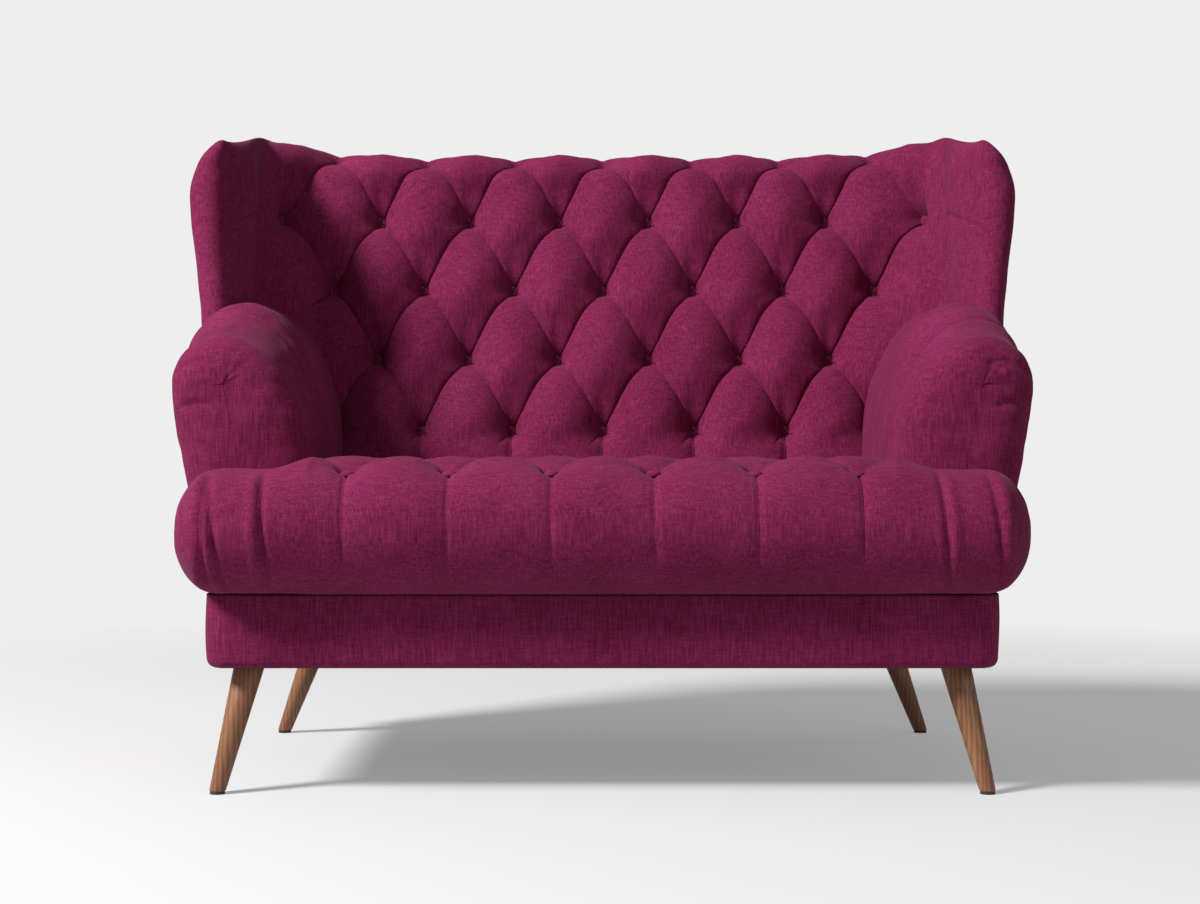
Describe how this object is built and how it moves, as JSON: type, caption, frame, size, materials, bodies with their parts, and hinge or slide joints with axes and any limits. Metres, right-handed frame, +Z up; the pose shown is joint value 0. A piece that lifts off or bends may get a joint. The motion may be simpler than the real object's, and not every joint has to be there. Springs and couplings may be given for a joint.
{
  "type": "two seat deep buttoned sofa",
  "caption": "Two-seat sofa with a deep-buttoned diamond back, smooth wings, rolled arms, a buttoned seat with a bolster front and splayed turned legs.",
  "frame": {"origin": "on the floor, under the middle of the sofa's width and depth", "axes": "+X along the sofa's width, the front faces -Y, +Z up"},
  "size_m": [1.346, 0.86, 1.021],
  "materials": {
    "magenta_upholstery": "matte",
    "frame_timber": "raw",
    "frame_steel": "satin",
    "walnut_legs": "satin",
    "glide_plastic": "matte",
    "black_cloth": "matte",
    "webbing": "matte",
    "cushion_filling": "matte",
    "twine": "matte"
  },
  "bodies": {
    "root": {"front_seat_rail": "frame_timber", "rear_seat_rail": "frame_timber", "left_seat_rail": "frame_timber", "right_seat_rail": "frame_timber", "centre_seat_brace": "frame_timber", "corner_blocks": "frame_timber", "right_arm_front_board": "frame_timber", "left_arm_front_board": "frame_timber", "right_arm_top_rail": "frame_timber", "left_arm_top_rail": "frame_timber", "right_arm_tack_rail": "frame_timber", "left_arm_tack_rail": "frame_timber", "right_back_post": "frame_timber", "left_back_post": "frame_timber", "back_top_rail": "frame_timber", "back_lower_rail": "frame_timber", "back_centre_stile": "frame_timber", "right_wing_board": "frame_timber", "left_wing_board": "frame_timber", "leg_plates": "frame_steel", "plate_screws": "frame_steel", "leg_bolts": "frame_steel", "front_left_leg": "walnut_legs", "rear_left_leg": "walnut_legs", "front_right_leg": "walnut_legs", "rear_right_leg": "walnut_legs", "leg_glides": "glide_plastic", "base_band": "magenta_upholstery", "right_arm_cover": "magenta_upholstery", "left_arm_cover": "magenta_upholstery", "right_wing_pad": "magenta_upholstery", "left_wing_pad": "magenta_upholstery", "back_inside_cover": "magenta_upholstery", "back_buttons": "magenta_upholstery", "outside_back_cover": "magenta_upholstery", "seat_cover": "magenta_upholstery", "seat_buttons": "magenta_upholstery", "dust_cover": "black_cloth", "seat_long_straps": "webbing", "seat_cross_straps": "webbing", "back_straps": "webbing", "right_arm_foam": "cushion_filling", "left_arm_foam": "cushion_filling", "back_foam": "cushion_filling", "seat_foam": "cushion_filling", "back_button_ties": "twine", "seat_button_ties": "twine"}
  },
  "joints": []
}
